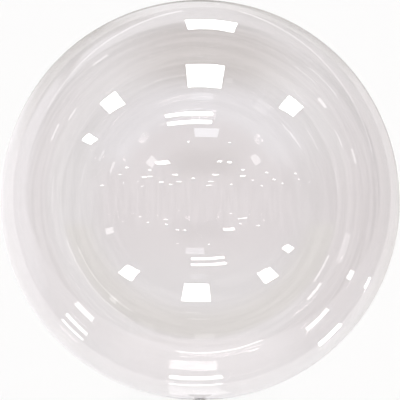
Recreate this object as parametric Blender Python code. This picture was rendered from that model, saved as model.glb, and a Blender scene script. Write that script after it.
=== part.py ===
"""A clear bubble balloon, blown tight, knotted and lying on the floor.

One film makes the whole balloon, so it is one solid: the bubble, the pleats
that gather towards the filling neck, the knot that seals it and the flared
tail beyond the knot. Metres, +Z up. The origin is the middle of the rest spot,
the small flat that the balloon lies on. The neck points along -Y.
"""

from math import asin, cos, pi, sin, sqrt

import bmesh
import bpy
from mathutils import Vector

# The bubble
DIAMETER = 0.610  # the round film, blown up
REST_SPOT_RADIUS = 0.034  # the flat that the floor presses into the film
ROUND_SIDES = 72  # facets round the neck's axis
RINGS_PER_HALF = 18  # rings from each end of the bubble to its widest place

# The gathers between the bubble and the knot
GATHER_START_RADIUS = 0.040  # where the round film starts to draw in
GATHER_LENGTH = 0.024
GATHER_RINGS = 9
GATHER_CROWDING = 1.6  # over 1 sets the rings closer together where the film turns
PLEATS = 9
PLEAT_DEPTH = 0.0016  # from the top of a pleat to the middle line
NECK_RADIUS = 0.0075  # the gathered neck where it goes into the knot

# The knot, one turn of the rolled neck
KNOT_CORD_RADIUS = 0.0062
KNOT_HOLE_RADIUS = 0.0003  # pulled nearly shut, and filled by the neck
KNOT_SEAT = 0.6  # the knot's middle past the end of the gathers, in cord radii
KNOT_TILT = 0.32  # radians, a knot pulled by hand is never square
KNOT_TURN = 0.16  # radians, seen from above
KNOT_SIDES = 28
KNOT_CORD_SIDES = 12

# The tail, the end of the neck that is left beyond the knot
TAIL_LENGTH = 0.046
TAIL_HALF_WIDTH = 0.0235  # at its cut end
TAIL_HALF_THICKNESS = 0.0022
TAIL_ROOT_HALF_WIDTH = 0.0065
TAIL_ROOT_HALF_THICKNESS = 0.0050
TAIL_RINGS = 10
TAIL_SIDES = 36
TAIL_FOLD_DEPTH = 0.0026  # the lengthwise folds that run out of the knot
TAIL_FOLDS = 3
TAIL_FOLD_PHASE = 0.6  # radians, so that the folds are not the same left and right
TAIL_FOLD_EASE = 0.4  # the share of its depth that a fold has lost at the cut end
TAIL_DROOP = 0.010  # how far the cut end hangs below the neck's axis

# Looks of the film
FILM_COLOUR = (0.88, 0.87, 0.87, 1.0)
FILM_ROUGHNESS = 0.05

BUBBLE_RADIUS = DIAMETER / 2
# The rest spot is a flat cut off the bottom, so the bubble's middle is a little under a radius up.
CENTRE_HEIGHT = sqrt(BUBBLE_RADIUS**2 - REST_SPOT_RADIUS**2)
CENTRE = Vector((0, 0, CENTRE_HEIGHT))
GATHER_START_DEPTH = sqrt(BUBBLE_RADIUS**2 - GATHER_START_RADIUS**2)
# The power that lets the gathers leave the round film without a corner
GATHER_CURVE = GATHER_LENGTH * GATHER_START_DEPTH / (
    GATHER_START_RADIUS * (GATHER_START_RADIUS - NECK_RADIUS)
)
KNOT_PLACE = GATHER_START_DEPTH + GATHER_LENGTH + KNOT_SEAT * KNOT_CORD_RADIUS
TAIL_END = KNOT_PLACE + KNOT_CORD_RADIUS + TAIL_LENGTH


def clear_scene():
    for obj in list(bpy.data.objects):
        bpy.data.objects.remove(obj, do_unlink=True)


def new_collection(name):
    collection = bpy.data.collections.new(name)
    bpy.context.scene.collection.children.link(collection)
    return collection


def film_material():
    material = bpy.data.materials.new("clear_film")
    material.use_nodes = True
    shader = material.node_tree.nodes["Principled BSDF"]
    shader.inputs["Base Color"].default_value = FILM_COLOUR
    shader.inputs["Roughness"].default_value = FILM_ROUGHNESS
    shader.inputs["Metallic"].default_value = 0.0
    shader.inputs["Transmission Weight"].default_value = 1.0
    material.diffuse_color = FILM_COLOUR
    return material


def along_neck(distance, across=0.0, up=0.0):
    """The point at this distance from the bubble's middle along the neck's axis, -Y."""
    return CENTRE + Vector((across, -distance, up))


def smooth_step(share):
    return share * share * (3 - 2 * share)


def loft(name, rings, material, collection):
    """A closed mesh through rings of equally many points. A ring of one point is a pole."""
    mesh = bmesh.new()
    loops = [[mesh.verts.new(point) for point in ring] for ring in rings]
    for first, second in zip(loops, loops[1:]):
        around = max(len(first), len(second))
        for side in range(around):
            after = (side + 1) % around
            corners = [first[side % len(first)], first[after % len(first)]]
            corners += [second[after % len(second)], second[side % len(second)]]
            mesh.faces.new(list(dict.fromkeys(corners)))
    for loop in (loops[0], loops[-1]):
        if len(loop) > 1:
            mesh.faces.new(loop)
    bmesh.ops.recalc_face_normals(mesh, faces=mesh.faces)
    data = bpy.data.meshes.new(name)
    mesh.to_mesh(data)
    mesh.free()
    data.shade_smooth()
    data.materials.append(material)
    obj = bpy.data.objects.new(name, data)
    collection.objects.link(obj)
    return obj


def bubble_rings():
    """The far pole, then rings on the sphere as far as the gathers, one of them at its widest."""
    last_angle = pi - asin(GATHER_START_RADIUS / BUBBLE_RADIUS)
    shares = [ring / RINGS_PER_HALF for ring in range(1, RINGS_PER_HALF + 1)]
    angles = [pi / 2 * share for share in shares]
    angles += [pi / 2 + (last_angle - pi / 2) * share for share in shares]
    rings = [[along_neck(-BUBBLE_RADIUS)]]
    for angle in angles:
        radius = BUBBLE_RADIUS * sin(angle)
        distance = -BUBBLE_RADIUS * cos(angle)
        rings.append(round_ring(distance, radius, 0.0))
    return rings


def round_ring(distance, radius, pleat):
    """One ring round the neck's axis, drawn in and out by this much over the pleats."""
    points = []
    for side in range(ROUND_SIDES):
        turn = 2 * pi * side / ROUND_SIDES
        reach = radius + pleat * cos(PLEATS * turn)
        points.append(along_neck(distance, reach * sin(turn), reach * cos(turn)))
    return points


def gather_rings():
    """The film drawn in from the bubble to the neck, with pleats that deepen towards the knot."""
    rings = []
    for ring in range(1, GATHER_RINGS + 1):
        share = (ring / GATHER_RINGS) ** GATHER_CROWDING
        drawn_in = (1 - share) ** GATHER_CURVE
        radius = NECK_RADIUS + (GATHER_START_RADIUS - NECK_RADIUS) * drawn_in
        pleat = PLEAT_DEPTH * smooth_step(ring / GATHER_RINGS)
        rings.append(round_ring(GATHER_START_DEPTH + GATHER_LENGTH * share, radius, pleat))
    return rings


def neck_end_rings():
    """The neck runs on into the knot, where it ends out of sight."""
    return [round_ring(KNOT_PLACE, NECK_RADIUS, 0.0)]


def knot(material, collection):
    """A single turn of the rolled neck, pulled tight."""
    bpy.ops.mesh.primitive_torus_add(
        major_radius=KNOT_CORD_RADIUS + KNOT_HOLE_RADIUS,
        minor_radius=KNOT_CORD_RADIUS,
        major_segments=KNOT_SIDES,
        minor_segments=KNOT_CORD_SIDES,
        location=along_neck(KNOT_PLACE),
        rotation=(pi / 2 + KNOT_TILT, 0, KNOT_TURN),
    )
    obj = bpy.context.object
    obj.name = "knot_shape"
    obj.data.shade_smooth()
    obj.data.materials.append(material)
    for owner in list(obj.users_collection):
        owner.objects.unlink(obj)
    collection.objects.link(obj)
    return obj


def tail_ring(share):
    """One flat oval ring of the tail, folded lengthwise less and less towards the cut end."""
    flare = smooth_step(share)
    half_width = TAIL_ROOT_HALF_WIDTH + (TAIL_HALF_WIDTH - TAIL_ROOT_HALF_WIDTH) * flare
    thin = TAIL_ROOT_HALF_THICKNESS - TAIL_HALF_THICKNESS
    half_thickness = TAIL_HALF_THICKNESS + thin * (1 - share) ** 2
    fold = TAIL_FOLD_DEPTH * smooth_step(min(1.0, 2 * share)) * (1 - TAIL_FOLD_EASE * share)
    distance = KNOT_PLACE + (TAIL_END - KNOT_PLACE) * share
    points = []
    for side in range(TAIL_SIDES):
        turn = 2 * pi * side / TAIL_SIDES
        across = half_width * cos(turn)
        wave = fold * sin(pi * TAIL_FOLDS * across / TAIL_HALF_WIDTH + TAIL_FOLD_PHASE)
        up = half_thickness * sin(turn) + wave - TAIL_DROOP * share**2
        points.append(along_neck(distance, across, up))
    return points


def tail(material, collection):
    rings = [tail_ring(ring / TAIL_RINGS) for ring in range(TAIL_RINGS + 1)]
    return loft("tail_shape", rings, material, collection)


def floor_cutter(material, collection):
    """A block whose top is the floor. It cuts the flat that the bubble rests on."""
    mesh = bmesh.new()
    bmesh.ops.create_cube(mesh, size=DIAMETER)
    data = bpy.data.meshes.new("floor_cutter")
    mesh.to_mesh(data)
    mesh.free()
    data.materials.append(material)
    obj = bpy.data.objects.new("floor_cutter", data)
    obj.location = (0, 0, -DIAMETER / 2)
    collection.objects.link(obj)
    return obj


def as_helper(obj):
    obj.hide_render = True
    obj.display_type = "WIRE"


def add_boolean(obj, other, operation):
    as_helper(other)
    modifier = obj.modifiers.new(f"{operation.lower()}_{other.name}", "BOOLEAN")
    modifier.operation = operation
    modifier.solver = "EXACT"
    modifier.object = other


def bubble_balloon():
    clear_scene()
    parts = new_collection("bubble_balloon")
    helpers = new_collection("helpers")
    film = film_material()
    rings = bubble_rings() + gather_rings() + neck_end_rings()
    balloon = loft("bubble_balloon", rings, film, parts)
    add_boolean(balloon, knot(film, helpers), "UNION")
    add_boolean(balloon, tail(film, helpers), "UNION")
    add_boolean(balloon, floor_cutter(film, helpers), "DIFFERENCE")
    return balloon


bubble_balloon()
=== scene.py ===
"""The looks of the clear bubble balloon, lying on a round pale floor under soft light panels.

The camera looks straight down, so that the top of the picture is +Y and the
neck, which points along -Y, starts at the bottom edge. Sizes are in metres,
apart from the tables of lights, which say what they are in.
"""

from math import asin, cos, pi, radians, sin, sqrt

import bmesh
import bpy
import numpy as np
from mathutils import Matrix, Vector

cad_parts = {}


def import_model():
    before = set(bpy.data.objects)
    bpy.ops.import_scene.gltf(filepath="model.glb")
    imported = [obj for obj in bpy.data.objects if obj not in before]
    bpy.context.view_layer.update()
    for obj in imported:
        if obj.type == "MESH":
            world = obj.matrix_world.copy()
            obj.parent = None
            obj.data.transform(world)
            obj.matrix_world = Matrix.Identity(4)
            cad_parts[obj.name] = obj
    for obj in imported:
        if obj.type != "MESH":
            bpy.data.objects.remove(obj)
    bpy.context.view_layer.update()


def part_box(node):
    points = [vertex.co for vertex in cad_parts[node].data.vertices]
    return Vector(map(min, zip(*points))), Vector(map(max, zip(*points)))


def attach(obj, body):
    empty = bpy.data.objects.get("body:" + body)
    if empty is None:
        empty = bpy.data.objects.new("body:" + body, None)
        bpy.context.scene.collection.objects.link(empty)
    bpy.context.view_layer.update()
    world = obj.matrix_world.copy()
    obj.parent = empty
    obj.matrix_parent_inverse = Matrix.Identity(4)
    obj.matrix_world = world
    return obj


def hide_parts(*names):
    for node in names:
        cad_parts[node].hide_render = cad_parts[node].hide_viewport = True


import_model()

NODE = "bubble_balloon"
low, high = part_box(NODE)

# The bubble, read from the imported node
RADIUS = (high[0] - low[0]) / 2
CENTRE = Vector((0.0, 0.0, high[2] - RADIUS))
TAIL_END = -low[1]  # how far the cut end of the tail is from the bubble's middle
REST_SPOT_RADIUS = 0.034
REST_EDGE = 0.016  # the width over which the film turns from the flat into the round

# The film. The wall is thicker than the real one of about 0.05 mm, for clean refraction.
WALL = 0.0003
FILM_SIDES = 320
FILM_RINGS = 100
FILM_WAVE = 0.000022  # the height of the slow unevenness that bends straight reflections
FILM_WAVE_LENGTHS = (0.21, 0.13, 0.083)
WAVE_FADE = 0.02  # over this share of a radius past the round film, the unevenness fades
HOLLOW_STOP = 3  # how many rings before the knot the hollow inside ends

# The gathers
GATHER_START_RADIUS = 0.040
GATHER_START_DEPTH = sqrt(RADIUS**2 - GATHER_START_RADIUS**2)  # from the bubble's middle
GATHER_LENGTH = 0.024
GATHER_RINGS = 36
GATHER_CROWDING = 1.7  # over 1 sets the rings closer together where the film turns
NECK_RADIUS = 0.0075
NECK_PINCH = 0.9  # the share of that radius left inside the knot
BROAD_PLEATS = 16
PLEATS = 27
FINE_PLEATS = 41
PLEAT_DEPTH = 0.0006
PLEAT_REACH = 0.062  # how far out over the bubble the finest pleats can be seen
PLEAT_CREST = 0.026  # the distance from the neck's axis where they are deepest

# The knot, a cord of rolled film
KNOT_CORD_RADIUS = 0.0037
KNOT_PLACE = GATHER_START_DEPTH + GATHER_LENGTH + KNOT_CORD_RADIUS  # from the bubble's middle
KNOT_WINDS = 2  # times round the neck
KNOT_CROSSINGS = 3
KNOT_RING = 0.0060  # from the neck's axis to the middle of the cord's two turns
KNOT_SWING = 0.0022  # how far the turns wind in and out about each other
KNOT_RISE = 0.0035  # and how far along the neck
KNOT_STEPS = 240
KNOT_SIDES = 56
# Creases: how many round the cord, how often they twist round it, and their depth in cord radii
KNOT_CREASES = ((6, 4, 0.09), (13, -3, 0.04))
KNOT_TILT = (0.2, 0.3, 0.12)  # radians, a knot pulled by hand is never square

# The tail
TAIL_WALL = 0.00035
TAIL_HALF_WIDTH = 0.0235  # at its cut end
TAIL_ROOT_HALF_WIDTH = 0.0060
TAIL_HALF_GAP = 0.0011  # half the height of the flattened tube
TAIL_ROOT_BULGE = 0.0042  # how much more that is inside the knot
TAIL_MOUTH = 0.0006  # and at the cut end
TAIL_DROOP = 0.010
TAIL_FOLDS = 3.1  # over half the width of the cut end, as half waves
TAIL_FINE_FOLDS = 7.3
TAIL_FOLD_DEPTH = 0.0024
TAIL_FINE_SHARE = 0.4  # the depth of a fine fold, as a share of that
TAIL_FOLD_EASE = 0.35  # the share of its depth that a fold has lost at the cut end
TAIL_RUFFLES = 2.3
TAIL_RUFFLE_DEPTH = 0.0012  # how far the cut edge runs in and out
TAIL_SETBACK = 0.0015  # keeps the ruffled edge within the node's length
TAIL_SIDES = 192
TAIL_RINGS = 60

# Looks of the film. In several layers, crumpled, it is a little milky.
FILM_IOR = 1.6
FILM_TINTS = ((0.915, 0.897, 0.902, 1), (0.945, 0.930, 0.933, 1))
FILM_HAZE = 0.012  # the roughness where it is haziest
GATHERED_IOR = 1.5
GATHERED_TINTS = ((0.91, 0.90, 0.905, 1), (0.98, 0.975, 0.975, 1))
GATHERED_ROUGHNESS = (0.05, 0.14)
KNOT_CLEARNESS = 0.75
TAIL_CLEARNESS = 0.95

# The camera
CAMERA_DISTANCE = 5 * RADIUS  # from the bubble's middle
SENSOR = 36.0

# The floor. In the picture its middle is a little left of the bubble's, and below it.
FLOOR_REACH = 2.62 * RADIUS
FLOOR_OFFSET = (-0.2, -0.45)  # in radii
FLOOR_GAP = 0.0004  # the floor is this far below the film, so that the two never coincide
FOOTPRINT = 1.2247  # what the bubble hides of the floor from the camera, in radii
# The floor's plain tone. Painted shade and painted light lie over it near the bubble.
FLOOR_TONE = (0.9, 0.9, 0.893, 1)

# The plain backdrop: level with the balloon and below, higher up, and straight above
BACKDROP = ((0.38, 0.375, 0.38, 1), (0.45, 0.45, 0.465, 1), (0.54, 0.53, 0.54, 1))
BLACK = (0.0, 0.0, 0.0, 1)

# The lights. The film shows each panel twice: upright in its front wall and inverted in its back.
KEY_STRENGTH = 2.355
KEY_SOFTNESS = radians(50)
PANEL_DISTANCE = 6.15 * RADIUS  # from the bubble's middle, towards the top of the picture
BRIGHT = 15.0
PALE = 1.5  # of the two dim panels, more or less
WHITE = (1.0, 1.0, 1.0)
COOL = (0.86, 0.94, 1.0)
LAMP_DEPTH = 0.7  # of a far lamp, as a share of its width
# Far lamps: how far off a row is, the width of its lamps and their places, all in radii
LAMP_ROWS = (
    (16.8, 0.8, (-14.0, 3.2, 4.8, 22.0)),
    (17.0, 2.4, (-6.2,)),
    (26.4, 1.4, (-15.2, -13.2, -6.2, 3.8, 11.0, 22.2)),
    (36.5, 1.6, (-13.7, -7.0, 3.7)),
    (46.5, 2.0, (3.7,)),
    (29.0, 2.2, (-40.0,)),
    (20.5, 0.8, (-19.5, -10.4, 8.6, 14.8, 29.0, 37.5)),
    (31.0, 1.0, (-27.0, -20.0, -2.0, 16.5, 31.0, 45.0)),
    (42.0, 1.2, (-25.0, -11.5, 12.4, 27.0)),
    (10.6, 0.25, (-1.2, 3.2)),
)
# The card lights. Each is placed by the ray that the film mirrors at its place in the picture.
GLINT_DISTANCE = 3.0  # from the film to a card light, in radii
MIRROR_STEP = 0.002  # the step in the picture, in radii, that measures how much the mirror shrinks
# Single glints, round the middle of the picture: the angle in degrees, the distance, the length
# along the circle and the width, all as shares of the outline's radius, and the brightness
GLINTS = (
    (86.4, 0.880, 0.250, 0.048, 12.0),
    (-136.0, 0.804, 0.120, 0.025, 4.0),
    (-134.7, 0.878, 0.148, 0.016, 4.0),
    (-134.5, 0.912, 0.148, 0.010, 3.0),
    (-45.6, 0.840, 0.150, 0.019, 5.0),
    (-46.0, 0.937, 0.150, 0.018, 5.0),
    (-18.3, 0.760, 0.150, 0.030, 1.2),
    (-26.4, 0.840, 0.050, 0.026, 5.0),
    (-26.3, 0.934, 0.060, 0.012, 4.0),
    (-29.4, 0.700, 0.150, 0.009, 3.0),
    (-38.7, 0.733, 0.110, 0.013, 4.0),
    (-131.0, 0.660, 0.040, 0.025, 2.0),
    (38.0, 0.560, 0.090, 0.006, 2.5),
    (32.0, 0.565, 0.100, 0.006, 2.5),
    (38.5, 0.780, 0.060, 0.014, 3.0),
    (125.5, 0.860, 0.090, 0.008, 2.0),
    (146.0, 0.770, 0.070, 0.008, 2.5),
    (155.0, 0.800, 0.090, 0.008, 2.0),
    (160.0, 0.470, 0.060, 0.010, 2.5),
    (156.0, 0.540, 0.060, 0.008, 2.0),
    (16.0, 0.800, 0.080, 0.010, 2.0),
    (24.0, 0.760, 0.090, 0.006, 2.0),
    (141.8, 0.309, 0.050, 0.042, 3.2),
    (36.3, 0.346, 0.050, 0.036, 3.0),
    (107.6, 0.630, 0.240, 0.004, 1.2),
    (44.0, 0.860, 0.200, 0.005, 1.2),
    (50.0, 0.820, 0.140, 0.005, 1.2),
    (56.2, 0.561, 0.075, 0.060, 0.7),
    (76.6, 0.616, 0.040, 0.022, 1.0),
    (-161.4, 0.479, 0.030, 0.040, 4.0),
    (-113.3, 0.683, 0.090, 0.040, 0.5),
    (-88.1, 0.684, 0.100, 0.032, 0.8),
    (-93.8, 0.565, 0.072, 0.005, 1.5),
    (-91.2, 0.597, 0.100, 0.005, 1.5),
    (108.5, 0.420, 0.150, 0.005, 2.0),
    (97.0, 0.455, 0.140, 0.006, 2.0),
    (60.0, 0.470, 0.120, 0.004, 1.5),
    (28.0, 0.640, 0.120, 0.005, 1.5),
    (8.0, 0.690, 0.140, 0.005, 1.2),
    (168.0, 0.600, 0.120, 0.004, 1.2),
    (178.0, 0.740, 0.180, 0.006, 0.9),
)
# Thin curved glints: the radius of the curve as a share of the outline's, the angles at which it
# starts and ends, its width, its brightness, and the point in the picture that it curves about
GLINT_ARCS = {
    "line_low": (0.765, -99, -66, 0.006, 4.0, (0.0, 0.0)),
    "line_left_outer": (0.72, -162, -120, 0.005, 2.0, (0.02, 0.02)),
    "line_left_inner": (0.68, -158, -122, 0.005, 2.0, (0.02, 0.02)),
    "rim_line_left": (0.94, 152, 100, 0.006, 0.8, (0.07, 0.02)),
    "rim_line_right": (0.94, 74, 12, 0.006, 0.7, (-0.06, 0.04)),
}
GLINT_ARC_STEP = 6  # the turn of one straight light along an arc as wide as the outline, in degrees
GLINT_ARC_OVERLAP = 1.02
# Strips above the bottom of the outline: the place and height as shares, and the brightness
LOW_STRIPS = ((-0.893, 0.018, 4.0), (-0.928, 0.006, 2.0), (-0.960, 0.046, 0.3))
LOW_STRIP_PLACE = -0.02
LOW_STRIP_LENGTH = 0.27


def smooth_step(share):
    share = np.clip(share, 0.0, 1.0)
    return share * share * (3 - 2 * share)


def mesh_object(name, points, faces, material):
    data = bpy.data.meshes.new(name)
    data.from_pydata([tuple(p) for p in points], [], faces)
    data.validate()
    data.shade_smooth()
    data.materials.append(material)
    obj = bpy.data.objects.new(name, data)
    bpy.context.scene.collection.objects.link(obj)
    return obj


def ring_faces(start, rings, sides):
    """Quads between consecutive rings of equally many points."""
    faces = []
    for ring in range(rings - 1):
        near = start + ring * sides
        far = near + sides
        for side in range(sides):
            after = (side + 1) % sides
            faces.append((near + side, near + after, far + after, far + side))
    return faces


def cap_faces(start, sides, pole, flip):
    """Triangles between a ring and one point."""
    faces = []
    for side in range(sides):
        after = (side + 1) % sides
        corner = (start + side, start + after, pole)
        faces.append(corner[::-1] if flip else corner)
    return faces


# The film of the bubble


def bubble_profile():
    """Distance along the neck's axis and radius of the film, from the far pole to the knot."""
    last_angle = pi - asin(GATHER_START_RADIUS / RADIUS)
    angles = np.linspace(0, last_angle, FILM_RINGS + 1)[1:]
    drawn = GATHER_START_RADIUS - NECK_RADIUS
    # The power that lets the gathers leave the round film without a corner
    curve = GATHER_LENGTH * GATHER_START_DEPTH / (GATHER_START_RADIUS * drawn)
    share = (np.arange(1, GATHER_RINGS + 1) / GATHER_RINGS) ** GATHER_CROWDING
    gathers = NECK_RADIUS + drawn * (1 - share) ** curve
    distance = np.append(-RADIUS * np.cos(angles), GATHER_START_DEPTH + GATHER_LENGTH * share)
    radius = np.append(RADIUS * np.sin(angles), gathers)
    return np.append(distance, KNOT_PLACE), np.append(radius, NECK_RADIUS * NECK_PINCH)


def unevenness(points):
    """A slow, smooth rise and fall over the film, the same every run."""
    total = np.zeros(len(points))
    for number, length in enumerate(FILM_WAVE_LENGTHS):
        turn = 1.7 * number + 0.4
        along = points @ np.array([cos(turn), sin(turn), 0.6 - 0.5 * number])
        across = points @ np.array([-sin(turn), cos(turn), 0.8])
        total += np.sin(2 * pi * along / length + turn) * np.cos(2 * pi * across / length)
    return FILM_WAVE * total


def ripple(turn, count, phase, wander, wanders):
    """A wave round the neck. Its spacing wanders, so that no two pleats are alike."""
    return np.cos(count * turn + phase + wander * np.sin(wanders * turn))


def pleats(distance, radius, turn):
    """How far the gathers lift the film: fine lines far out, deeper folds near the neck."""
    beyond = smooth_step((distance - 0.9 * RADIUS) / (0.07 * RADIUS))
    reach = np.clip(1 - (radius - NECK_RADIUS) / PLEAT_REACH, 0, 1)
    depth = PLEAT_DEPTH * reach**3 * (0.2 + 0.8 * smooth_step(radius / PLEAT_CREST)) * beyond
    uneven = 0.7 + 0.3 * np.cos(5 * turn + 2.0)
    wave = 0.55 * ripple(turn, PLEATS, 0.0, 0.9, 3) * uneven
    wave = wave + 0.35 * ripple(turn, BROAD_PLEATS, 1.1, 0.8, 2)
    wave = wave + 0.20 * ripple(turn, FINE_PLEATS, 0.5, 0.0, 1) * reach
    return depth * wave


def film_surface(inset):
    """Points of the film's outer face, or of its inner face when inset is the wall."""
    distance, radius = bubble_profile()
    turn = 2 * pi * np.arange(FILM_SIDES)[None, :] / FILM_SIDES
    along, across = np.gradient(distance), np.gradient(radius)
    steepness = np.hypot(along, across)
    lift = pleats(distance[:, None], radius[:, None], turn)
    reach = radius[:, None] + lift * (along / steepness)[:, None]
    depth = distance[:, None] - lift * (across / steepness)[:, None]
    points = np.stack([reach * np.sin(turn), -depth, reach * np.cos(turn)], axis=-1).reshape(-1, 3)
    points = np.vstack([[0, RADIUS, 0], points])
    length = np.linalg.norm(points, axis=1, keepdims=True)
    outward = points / length
    fade = smooth_step((RADIUS * (1 + WAVE_FADE) - length[:, 0]) / (WAVE_FADE * RADIUS))
    points = points + outward * (unevenness(points) * fade)[:, None]
    if inset:
        points = inner_face(points, outward, len(distance), inset)
    return rest_on_floor(points, inset)


def inner_face(points, outward, rings, inset):
    """The outer face drawn in by the wall, and shut where the neck is gathered."""
    inner = points - outward * inset
    grid = inner[1:].reshape(rings, FILM_SIDES, 3)
    reach = np.linalg.norm(grid[:, :, [0, 2]], axis=2, keepdims=True)
    # In the gathers the wall is steep, so it is also drawn in towards the neck's axis.
    shut = np.clip((reach - 1.2 * inset) / np.maximum(reach, 1e-9), 0.02, 1)
    narrow = reach < 2 * GATHER_START_RADIUS
    grid[:, :, [0, 2]] *= np.where(narrow, shut, 1.0)
    inner[1:] = grid.reshape(-1, 3)
    return inner


def rest_on_floor(points, inset):
    """Flattens the film where it lies on the floor, with a soft turn into the round."""
    floor = -CENTRE.z + inset
    reach = np.hypot(points[:, 0], points[:, 1])
    under = points[:, 2] < 0
    flat = 1 - smooth_step((reach - REST_SPOT_RADIUS) / REST_EDGE)
    lifted = np.maximum(points[:, 2], floor)
    points = points.copy()
    points[:, 2] = np.where(under, lifted * (1 - flat) + floor * flat, points[:, 2])
    points[:, 2] = np.where(under, np.maximum(points[:, 2], floor), points[:, 2])
    return points


def bubble_film(material):
    """The hollow film: an outer and an inner face, each closed where it goes into the knot."""
    outer = film_surface(0.0)
    count = len(outer)
    rings = (count - 1) // FILM_SIDES
    inner_rings = rings - HOLLOW_STOP
    inner = film_surface(WALL)[: 1 + inner_rings * FILM_SIDES]
    outer_end = np.mean(outer[-FILM_SIDES:], axis=0)
    inner_end = np.mean(inner[-FILM_SIDES:], axis=0)
    points = np.vstack([outer, inner, [outer_end], [inner_end]])
    outer_pole = count + len(inner)
    faces = cap_faces(1, FILM_SIDES, 0, False)
    faces += [f[::-1] for f in ring_faces(1, rings, FILM_SIDES)]
    faces += cap_faces(1 + (rings - 1) * FILM_SIDES, FILM_SIDES, outer_pole, True)
    faces += cap_faces(count + 1, FILM_SIDES, count, True)
    faces += ring_faces(count + 1, inner_rings, FILM_SIDES)
    last = count + 1 + (inner_rings - 1) * FILM_SIDES
    faces += cap_faces(last, FILM_SIDES, outer_pole + 1, False)
    obj = mesh_object("bubble_film", points, faces, material)
    obj.location = CENTRE
    return obj


# The knot and the tail


def closed_tube_faces(rings, sides):
    """Quads of a tube whose last ring joins its first."""
    faces = ring_faces(0, rings, sides)
    last = (rings - 1) * sides
    for side in range(sides):
        after = (side + 1) % sides
        faces.append((last + side, last + after, after, side))
    return faces


def unit(vectors):
    return vectors / np.linalg.norm(vectors, axis=1, keepdims=True)


def knot_path(t):
    """The middle of the cord, which winds round the neck's axis and about itself."""
    swing = KNOT_RING + KNOT_SWING * np.cos(KNOT_CROSSINGS * t)
    rise = KNOT_RISE * np.sin(KNOT_CROSSINGS * t)
    return np.stack([swing * np.cos(KNOT_WINDS * t), -rise, swing * np.sin(KNOT_WINDS * t)], axis=1)


def knot(material):
    """A knot pulled tight: a cord of rolled film, creased along its length."""
    t = 2 * pi * np.arange(KNOT_STEPS) / KNOT_STEPS
    around = 2 * pi * np.arange(KNOT_SIDES)[None, :] / KNOT_SIDES
    path = knot_path(t)
    ahead = unit(np.roll(path, -1, axis=0) - np.roll(path, 1, axis=0))
    aside = unit(np.cross(ahead, unit(path)))
    upward = np.cross(aside, ahead)
    crease = np.ones((KNOT_STEPS, KNOT_SIDES))
    for count, twists, depth in KNOT_CREASES:
        crease += depth * np.cos(count * around + twists * t[:, None])
    lift = np.cos(around)[:, :, None] * upward[:, None, :]
    lift = lift + np.sin(around)[:, :, None] * aside[:, None, :]
    points = path[:, None, :] + KNOT_CORD_RADIUS * crease[:, :, None] * lift
    faces = closed_tube_faces(KNOT_STEPS, KNOT_SIDES)
    obj = mesh_object("neck_knot", points.reshape(-1, 3), faces, material)
    fix_normals(obj)
    obj.location = CENTRE + Vector((0, -KNOT_PLACE, 0))
    obj.rotation_euler = KNOT_TILT
    return obj


def fix_normals(obj):
    """Turns every face outwards."""
    mesh = bmesh.new()
    mesh.from_mesh(obj.data)
    bmesh.ops.recalc_face_normals(mesh, faces=mesh.faces)
    mesh.to_mesh(obj.data)
    mesh.free()
    obj.data.shade_smooth()


def tail_rings(inset):
    """Rings of the flattened tube, drawn in by the inset, from inside the knot to the cut end."""
    share = np.linspace(0, 1, TAIL_RINGS)[:, None]
    turn = (2 * pi * np.arange(TAIL_SIDES) / TAIL_SIDES)[None, :]
    flare = (TAIL_HALF_WIDTH - TAIL_ROOT_HALF_WIDTH) * smooth_step(share)
    half_gap = TAIL_HALF_GAP + TAIL_ROOT_BULGE * (1 - share) ** 2 + TAIL_MOUTH * share
    across = (TAIL_ROOT_HALF_WIDTH + flare - inset) * np.cos(turn)
    place = pi * across / TAIL_HALF_WIDTH
    fold = TAIL_FOLD_DEPTH * smooth_step(2.2 * share) * (1 - TAIL_FOLD_EASE * share)
    wave = fold * np.sin(TAIL_FOLDS * place + 0.6)
    wave = wave + TAIL_FINE_SHARE * fold * np.sin(TAIL_FINE_FOLDS * place + 1.9 + 2 * share)
    belly = np.sign(np.sin(turn)) * np.abs(np.sin(turn)) ** 0.8
    up = (half_gap - inset) * belly + wave - TAIL_DROOP * share**2
    ruffle = TAIL_RUFFLE_DEPTH * np.sin(TAIL_RUFFLES * place + 0.9) * share**6
    distance = KNOT_PLACE + (TAIL_END - TAIL_SETBACK - KNOT_PLACE) * share + ruffle
    return np.stack([across, -distance, up], axis=-1)


def tail(material):
    """The end of the neck beyond the knot: a flattened tube, open at its cut end."""
    outer = tail_rings(0.0).reshape(-1, 3)
    inner = tail_rings(TAIL_WALL).reshape(-1, 3)
    count = len(outer)
    points = np.vstack([outer, inner])
    faces = ring_faces(0, TAIL_RINGS, TAIL_SIDES)
    faces += [f[::-1] for f in ring_faces(count, TAIL_RINGS, TAIL_SIDES)]
    for near, flip in ((0, True), ((TAIL_RINGS - 1) * TAIL_SIDES, False)):
        for side in range(TAIL_SIDES):
            after = (side + 1) % TAIL_SIDES
            corner = (near + side, near + after, count + near + after, count + near + side)
            faces.append(corner[::-1] if flip else corner)
    obj = mesh_object("neck_tail", points, faces, material)
    fix_normals(obj)
    obj.location = CENTRE
    return obj


# Materials


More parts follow.
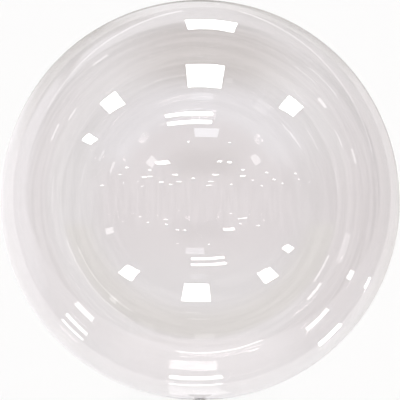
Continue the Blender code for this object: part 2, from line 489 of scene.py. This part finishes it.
class Nodes:
    """A few short ways to write sums and tones in a tree of nodes."""

    def __init__(self, tree):
        self.nodes = tree.nodes
        self.links = tree.links

    def put(self, value, socket):
        if isinstance(value, (int, float, tuple)):
            socket.default_value = value
        else:
            self.links.new(value, socket)

    def place(self, kind):
        return self.nodes.new("ShaderNodeTexCoord").outputs[kind]

    def parts(self, vector):
        node = self.nodes.new("ShaderNodeSeparateXYZ")
        self.put(vector, node.inputs[0])
        return node.outputs

    def scaled(self, vector, scale, shift=(0.0, 0.0, 0.0)):
        node = self.nodes.new("ShaderNodeMapping")
        node.inputs["Location"].default_value = shift
        node.inputs["Scale"].default_value = scale
        self.put(vector, node.inputs["Vector"])
        return node.outputs["Vector"]

    def math(self, operation, first, second=0.0):
        node = self.nodes.new("ShaderNodeMath")
        node.operation = operation
        self.put(first, node.inputs[0])
        self.put(second, node.inputs[1])
        return node.outputs[0]

    def times(self, value, number):
        return self.math("MULTIPLY", value, number)

    def size(self, value):
        return self.math("ABSOLUTE", value)

    def sum(self, *values):
        total = values[0]
        for value in values[1:]:
            total = self.math("ADD", total, value)
        return total

    def both(self, *factors):
        total = factors[0]
        for factor in factors[1:]:
            total = self.times(total, factor)
        return total

    def ramp(self, value, low_in, high_in, low_out, high_out):
        """From low_out to high_out while the value goes from low_in to high_in, and smooth between."""
        node = self.nodes.new("ShaderNodeMapRange")
        node.interpolation_type = "SMOOTHSTEP"
        node.inputs["From Min"].default_value = low_in
        node.inputs["From Max"].default_value = high_in
        node.inputs["To Min"].default_value = low_out
        node.inputs["To Max"].default_value = high_out
        self.put(value, node.inputs["Value"])
        return node.outputs["Result"]

    def step(self, value, off, on):
        """0 where the value is at off and 1 where it is at on. On may be the lower of the two."""
        if on < off:
            return self.ramp(value, on, off, 1.0, 0.0)
        return self.ramp(value, off, on, 0.0, 1.0)

    def noise(self, vector, scale, detail, roughness=0.5):
        node = self.nodes.new("ShaderNodeTexNoise")
        node.inputs["Scale"].default_value = scale
        node.inputs["Detail"].default_value = detail
        node.inputs["Roughness"].default_value = roughness
        self.put(vector, node.inputs["Vector"])
        return node.outputs["Fac"]

    def paint(self, below, colour, factor):
        node = self.nodes.new("ShaderNodeMix")
        node.data_type = "RGBA"
        self.put(factor, node.inputs["Factor"])
        self.put(below, node.inputs["A"])
        self.put(colour, node.inputs["B"])
        return node.outputs["Result"]

    def streaks(self, way, scale, most):
        """Bands from black to this brightness, across the direction in which the scale is largest."""
        bands = self.step(self.noise(self.scaled(way, scale), 1.0, 3.0), 0.36, 0.66)
        return self.paint(BLACK, (most, most * 0.97, most * 0.98, 1), bands)


def new_material(name):
    material = bpy.data.materials.new(name)
    material.use_nodes = True
    return material, material.node_tree.nodes["Principled BSDF"].inputs, Nodes(material.node_tree)


def clear_film():
    """Clear glossy film: hardly tinted, with a faint cloudiness and the least haze."""
    material, shader, n = new_material("clear_film")
    shader["Transmission Weight"].default_value = 1.0
    shader["IOR"].default_value = FILM_IOR
    place = n.place("Object")
    cloud = n.noise(place, 5.0, 3.0)
    haze = n.noise(place, 16.0, 4.0, 0.6)
    n.put(n.paint(*FILM_TINTS, cloud), shader["Base Color"])
    n.put(n.ramp(haze, 0.35, 0.75, 0.0, FILM_HAZE), shader["Roughness"])
    return material


def gathered_film(name, clearness):
    """The same film in several layers, with fine creases along the neck."""
    material, shader, n = new_material(name)
    shader["Transmission Weight"].default_value = clearness
    shader["IOR"].default_value = GATHERED_IOR
    place = n.place("Object")
    cloud = n.noise(place, 90.0, 3.0)
    n.put(n.paint(*GATHERED_TINTS, cloud), shader["Base Color"])
    n.put(n.ramp(cloud, 0.3, 0.7, *GATHERED_ROUGHNESS), shader["Roughness"])
    crease = n.noise(n.scaled(place, (1.0, 0.12, 1.0)), 620.0, 3.0, 0.6)
    bump = n.nodes.new("ShaderNodeBump")
    bump.inputs["Strength"].default_value = 0.35
    bump.inputs["Distance"].default_value = 0.0006
    n.put(crease, bump.inputs["Height"])
    n.put(bump.outputs["Normal"], shader["Normal"])
    return material


# The floor, the lights, the world and the camera


def floor():
    """A round pale floor, which the outer face of the film doesn't mirror."""
    mesh = bmesh.new()
    bmesh.ops.create_circle(mesh, cap_ends=True, radius=FLOOR_REACH, segments=256)
    data = bpy.data.meshes.new("floor")
    mesh.to_mesh(data)
    mesh.free()
    obj = bpy.data.objects.new("floor", data)
    obj.location = (FLOOR_OFFSET[0] * RADIUS, FLOOR_OFFSET[1] * RADIUS, -FLOOR_GAP)
    obj.visible_glossy = False
    data.materials.append(floor_with_painted_light_and_shade())
    bpy.context.scene.collection.objects.link(obj)


def painted_floor_light_and_shade(n, u, v):
    """Painted shade and painted light: soft patches darker or lighter than the floor. They stand in
    for the shade and light that the bubble throws, and for the dimmer tones seen through its film.
    Colour and factor.

    u and v run right and up in the picture, as shares of what the bubble hides.
    """
    reach = n.math("SQRT", n.sum(n.times(u, u), n.times(v, v)))
    wide = n.size(u)
    inside = n.step(reach, 1.0, 0.93)
    off_middle = n.size(n.sum(u, -0.05))
    off_spot = n.size(n.sum(v, -0.2))
    above = n.step(n.sum(v, n.times(wide, -0.5)), -0.12, 0.08)
    middle = n.both(n.step(reach, 0.60, 0.42), n.step(v, -0.5, -0.1))
    arch = n.both(n.step(reach, 0.36, 0.46), n.step(reach, 0.66, 0.54), above)
    spot = n.both(n.step(off_middle, 0.26, 0.08), n.step(off_spot, 0.15, 0.03))
    ring = n.both(n.step(reach, 0.74, 0.80), inside, n.step(v, -0.80, -0.55), n.step(v, 0.65, 0.3))
    left = n.both(n.step(u, -0.72, -0.82), n.step(reach, 0.84, 0.88), n.step(reach, 0.99, 0.95))
    right = n.both(n.step(u, 0.3, 0.75), inside, n.step(v, 0.45, 0.0))
    top = n.both(n.step(v, 0.50, 0.68), n.step(reach, 0.93, 0.84), n.step(off_middle, 0.58, 0.12))
    bottom = n.both(n.step(v, -0.62, -0.72), n.step(reach, 0.98, 0.9), n.step(wide, 0.55, 0.25))
    olive = n.both(n.step(v, -0.08, -0.16), n.step(reach, 0.5, 0.62), n.step(reach, 0.71, 0.67))
    # Darker patches are painted shade, the spot a painted contact shade; patches lighter than the
    # plain tone are painted light
    return (
        ((0.87, 0.85, 0.847, 1), middle),
        ((0.93, 0.93, 0.935, 1), arch),
        ((0.83, 0.81, 0.80, 1), spot),
        ((0.875, 0.865, 0.86, 1), ring),
        ((0.95, 0.945, 0.945, 1), left),
        ((0.83, 0.81, 0.805, 1), right),
        ((0.73, 0.71, 0.685, 1), top),
        ((0.965, 0.955, 0.95, 1), bottom),
        ((0.87, 0.865, 0.83, 1), olive),
    )


def floor_with_painted_light_and_shade():
    """Nearly white and matt, with painted shade and painted light in faint soft tones under and round
    the bubble.
    """
    material, shader, n = new_material("floor_with_painted_light_and_shade")
    shader["Roughness"].default_value = 0.9
    shader["Specular IOR Level"].default_value = 0.1
    shift = (FLOOR_OFFSET[0] / FOOTPRINT, FLOOR_OFFSET[1] / FOOTPRINT, 0.0)
    scale = (1 / (FOOTPRINT * RADIUS),) * 3
    u, v, _ = n.parts(n.scaled(n.place("Object"), scale, shift))
    tone = FLOOR_TONE
    # Each patch paints shade or light over the plain tone
    for colour, factor in painted_floor_light_and_shade(n, u, v):
        tone = n.paint(tone, colour, factor)
    n.put(tone, shader["Base Color"])
    return material


def key_light():
    """Even light from above, which the film doesn't mirror."""
    data = bpy.data.lights.new("key", "SUN")
    data.energy = KEY_STRENGTH
    data.angle = KEY_SOFTNESS
    obj = bpy.data.objects.new("key", data)
    obj.location = (0, 0, 3)
    obj.visible_glossy = False
    obj.visible_transmission = False
    bpy.context.scene.collection.objects.link(obj)


def area_light(name, width, height, brightness, colour=WHITE):
    """A rectangular light that neither the camera nor the floor sees, equally bright at any size."""
    data = bpy.data.lights.new(name, "AREA")
    data.shape = "RECTANGLE"
    data.size = width
    data.size_y = height
    data.energy = brightness * width * height * pi
    data.color = colour
    obj = bpy.data.objects.new(name, data)
    obj.visible_camera = False
    obj.visible_diffuse = False
    bpy.context.scene.collection.objects.link(obj)
    return obj


def panel(name, x, z, width, depth, brightness, colour=WHITE):
    """A light across +Y, facing -Y. Sizes and places are in radii, from the bubble's middle."""
    obj = area_light(name, width * RADIUS, depth * RADIUS, brightness, colour)
    obj.location = CENTRE + Vector((x * RADIUS, PANEL_DISTANCE, z * RADIUS))
    obj.rotation_euler = (-pi / 2, 0, 0)


def light_panels():
    """Square panels near the balloon, two long strips behind them, and rows of lamps far off."""
    panel("panel_main", 0.25, 2.81, 1.8, 1.82, BRIGHT)
    panel("panel_left", -5.6, 2.85, 1.6, 1.62, BRIGHT)
    panel("panel_right", 6.05, 2.95, 1.65, 1.65, BRIGHT)
    panel("panel_far_left", -11.2, 4.8, 1.8, 1.7, BRIGHT)
    panel("strip_near", -0.85, 6.28, 3.4, 0.38, BRIGHT)
    panel("strip_far", -0.85, 7.35, 3.5, 0.46, BRIGHT)
    panel("pale_near", 0.1, 4.56, 1.3, 0.7, 0.45 * PALE, COOL)
    panel("pale_middle", 0.6, 9.0, 2.2, 1.5, 1.4 * PALE, COOL)
    for row, (distance, size, places) in enumerate(LAMP_ROWS):
        for number, place in enumerate(places):
            panel(f"lamp_{row}_{number}", place, distance, size, size * LAMP_DEPTH, BRIGHT)


def mirrored_ray(across, up):
    """Where a ray from the camera meets the film and which way it is mirrored.

    across and up are in the picture, as shares of the outline's radius.
    """
    far = CAMERA_DISTANCE / RADIUS
    slope = 1 / sqrt(far**2 - 1)
    way = Vector((across * slope, up * slope, -1)).normalized()
    start = Vector((0, 0, far))
    along = -start.dot(way) - sqrt(start.dot(way) ** 2 - far**2 + 1)
    point = start + along * way
    return point, way - 2 * way.dot(point) * point


def glint(name, across, up, length, width, slant, brightness):
    """A small card light that the outer face of the film mirrors at this place in the picture."""
    point, way = mirrored_ray(across, up)
    target = point + way * GLINT_DISTANCE

    def side(direction, size):
        """The side of the card that the mirror shows in this direction and at this size."""
        other, other_way = mirrored_ray(
            across + MIRROR_STEP * cos(direction), up + MIRROR_STEP * sin(direction)
        )
        reach = (target - other).dot(way) / other_way.dot(way)
        return (other + other_way * reach - target) * size / MIRROR_STEP

    long_side = side(slant, length)
    short_side = side(slant + pi / 2, width)
    x_axis = long_side.normalized()
    y_axis = way.cross(x_axis)
    height = abs(short_side.dot(y_axis))
    obj = area_light(name, long_side.length * RADIUS, height * RADIUS, brightness)
    turned = Matrix((x_axis, y_axis, way)).transposed()
    obj.matrix_world = Matrix.Translation(CENTRE + target * RADIUS) @ turned.to_4x4()
    obj.visible_transmission = False


def glint_arc(name, reach, first, last, width, brightness, centre):
    """A thin curved glint, as short straight lights end to end. Angles are in degrees."""
    count = max(2, round(abs(last - first) * reach / GLINT_ARC_STEP))
    step = radians((last - first) / count)
    length = abs(step) * reach * GLINT_ARC_OVERLAP
    for number in range(count):
        turn = radians(first) + step * (number + 0.5)
        place = (centre[0] + reach * cos(turn), centre[1] + reach * sin(turn))
        glint(f"{name}_{number}", *place, length, width, turn + pi / 2, brightness)


def glints():
    """The card lights: thin curved lines, strips near the bottom of the outline and single glints."""
    for name, arc in GLINT_ARCS.items():
        glint_arc(name, *arc)
    for number, (up, height, brightness) in enumerate(LOW_STRIPS):
        glint(f"strip_low_{number}", LOW_STRIP_PLACE, up, LOW_STRIP_LENGTH, height, 0.0, brightness)
    for number, (angle, reach, length, width, brightness) in enumerate(GLINTS):
        turn = radians(angle)
        place = (reach * cos(turn), reach * sin(turn))
        glint(f"glint_{number}", *place, length, width, turn + pi / 2, brightness)


def front_tones(n, way, spot):
    """What the middle of the outer face mirrors: soft bands on a dim grey."""
    x, y, z = n.parts(way)
    tone = n.paint((0.25, 0.24, 0.245, 1), (0.20, 0.195, 0.175, 1), n.step(y, -0.15, -0.5))
    top = n.both(n.step(y, 0.55, 0.85), n.step(n.size(x), 0.6, 0.2))
    tone = n.paint(tone, (0.09, 0.085, 0.07, 1), top)
    arch = n.both(n.step(z, 0.46, 0.54), n.step(z, 0.96, 0.84), n.step(y, -0.12, 0.05))
    tone = n.paint(tone, (0.52, 0.53, 0.56, 1), arch)
    level_bands = n.streaks(way, (1.5, 1.5, 18.0), 0.85)
    tone = n.paint(tone, level_bands, n.times(n.step(z, 0.9, 0.6), 0.7))
    tone = n.paint(tone, BLACK, spot)
    upright_bands = n.streaks(way, (34.0, 3.0, 3.0), 0.8)
    belt = n.both(n.step(z, 0.15, 0.6), n.step(n.size(y), 0.34, 0.12))
    return n.paint(tone, upright_bands, n.times(belt, 0.7))


def rim_tones(n, way):
    """What the rim of the outer face mirrors: palest on the left, and beige at the upper left."""
    x, y, z = n.parts(way)
    tone = n.paint((1.10, 1.08, 1.10, 1), (0.74, 0.71, 0.70, 1), n.step(x, -0.5, 0.4))
    tone = n.paint(tone, (0.90, 0.885, 0.905, 1), n.step(y, -0.1, -0.5))
    aside = n.both(n.step(n.size(x), 0.1, 0.3), n.step(x, 0.5, 0.0))
    beige = n.both(n.step(y, 0.15, 0.4), aside, n.step(z, -0.60, -0.66))
    return n.paint(tone, (0.52, 0.495, 0.46, 1), beige)


def edge_tones(n, way, tone):
    """The last of the rim: dark at the top, with a crescent to each side of it, and a bright brim."""
    x, y, z = n.parts(way)
    top = n.both(n.step(z, -0.88, -0.93), n.step(y, 0.0, 0.12), n.step(x, -0.40, -0.28))
    tone = n.paint(tone, (0.42, 0.41, 0.40, 1), top)
    border = n.step(n.sum(z, n.times(x, 0.95)), -1.06, -1.12)
    left = n.both(border, n.step(n.sum(y, n.times(x, 0.55)), 0.12, 0.28))
    tone = n.paint(tone, (0.42, 0.40, 0.37, 1), left)
    border = n.step(n.sum(z, n.times(x, -0.35)), -0.885, -0.925)
    right = n.both(border, n.step(n.sum(y, n.times(x, -0.6)), 0.02, 0.2))
    tone = n.paint(tone, (0.50, 0.48, 0.46, 1), right)
    brim = n.both(n.step(z, -0.92, -0.965), n.step(y, 0.24, 0.12), n.step(y, -0.02, 0.04))
    return n.paint(tone, (1.25, 1.23, 1.23, 1), brim)


def world():
    """Plain grey where it is seen straight or through the film, and soft tones where the outer face
    mirrors it, by direction: x right, y towards the top of the picture, z to the camera."""
    studio = bpy.data.worlds.new("studio")
    bpy.context.scene.world = studio
    studio.use_nodes = True
    n = Nodes(studio.node_tree)
    way = n.place("Generated")
    x, y, z = n.parts(way)
    wide, high = n.size(x), n.size(y)
    spot = n.both(n.step(y, 0.18, 0.30), n.step(y, 0.50, 0.36), n.step(wide, 0.40, 0.12))
    spot = n.both(spot, n.step(z, 0.7, 0.85))
    slope = n.sum(n.times(y, 0.26), n.times(high, -0.18), n.times(x, 0.07), n.times(wide, 0.07))
    tone = n.paint(front_tones(n, way, spot), rim_tones(n, way), n.step(n.sum(z, slope), -0.35, -0.41))
    tone = edge_tones(n, way, tone)
    backdrop = n.paint(*BACKDROP[:2], n.step(z, 0.3, 0.6))
    backdrop = n.paint(backdrop, BACKDROP[2], n.step(z, 0.6, 0.85))
    backdrop = n.paint(backdrop, BLACK, n.times(spot, 0.8))
    mirrored = n.nodes.new("ShaderNodeLightPath").outputs["Is Reflection Ray"]
    n.put(n.paint(backdrop, tone, mirrored), n.nodes["Background"].inputs["Color"])


def camera():
    """Straight down from five radii, with a lens that fits the bubble's outline to the frame."""
    data = bpy.data.cameras.new("camera")
    data.sensor_width = SENSOR
    data.lens = SENSOR / 2 * sqrt((CAMERA_DISTANCE / RADIUS) ** 2 - 1)
    obj = bpy.data.objects.new("camera", data)
    obj.location = CENTRE + Vector((0, 0, CAMERA_DISTANCE))
    bpy.context.scene.collection.objects.link(obj)
    bpy.context.scene.camera = obj


def light_paths():
    """Lets light go round inside the film many times."""
    scene = bpy.context.scene
    scene.view_settings.view_transform = "Standard"
    scene.cycles.max_bounces = 40
    scene.cycles.transmission_bounces = 40
    scene.cycles.glossy_bounces = 20
    scene.cycles.sample_clamp_indirect = 0.0


def dress():
    """The three pieces that stand for the solid balloon."""
    bubble = bubble_film(clear_film())
    bubble.visible_shadow = False
    bubble.visible_diffuse = False
    neck_knot = knot(gathered_film("knot_film", KNOT_CLEARNESS))
    neck_tail = tail(gathered_film("tail_film", TAIL_CLEARNESS))
    for piece in (bubble, neck_knot, neck_tail):
        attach(piece, "root")
    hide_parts(NODE)


dress()
floor()
key_light()
light_panels()
glints()
world()
camera()
light_paths()
